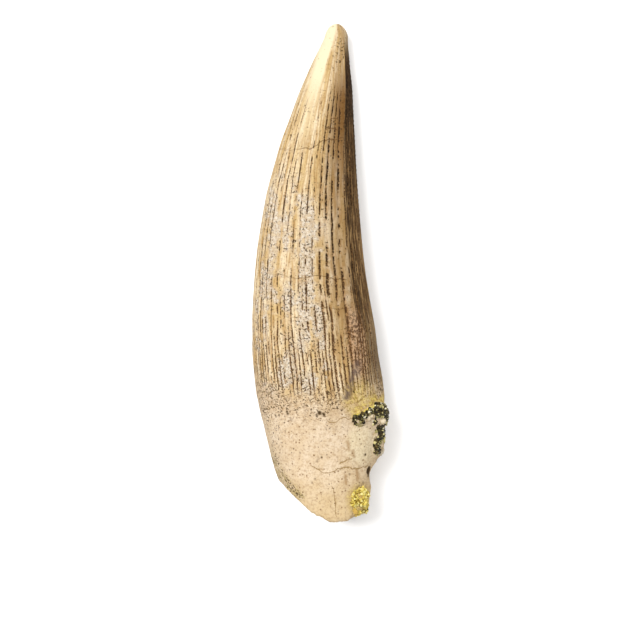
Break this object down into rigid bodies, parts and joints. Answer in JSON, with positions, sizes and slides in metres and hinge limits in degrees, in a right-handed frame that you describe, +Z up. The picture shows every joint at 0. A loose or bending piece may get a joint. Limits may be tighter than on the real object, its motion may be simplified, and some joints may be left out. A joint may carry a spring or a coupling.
{
  "type": "fossil dinosaur tooth",
  "caption": "Long curved, fluted fossil tooth shaped like a claw, with a keeled crown, a broken stump of root and patches of mineral crust, lying on its belly.",
  "frame": {"origin": "below the middle of the whole outline, on the surface that the tooth lies on", "axes": "+Y along the tooth towards its tip, +X towards its keeled inner edge, +Z up, out of the face that shows"},
  "size_m": [0.0262, 0.0952, 0.019],
  "materials": {
    "fossil_tooth": "satin enamel with dark dashed flutes, polished at the tip, turning to matt pale root",
    "dark_crust": "rough granular dark mineral with yellow grains",
    "yellow_crust": "rough granular yellow mineral"
  },
  "bodies": {
    "root": {"tooth": "fossil_tooth", "upper_crust": "dark_crust", "lower_crust": "yellow_crust"}
  },
  "joints": []
}
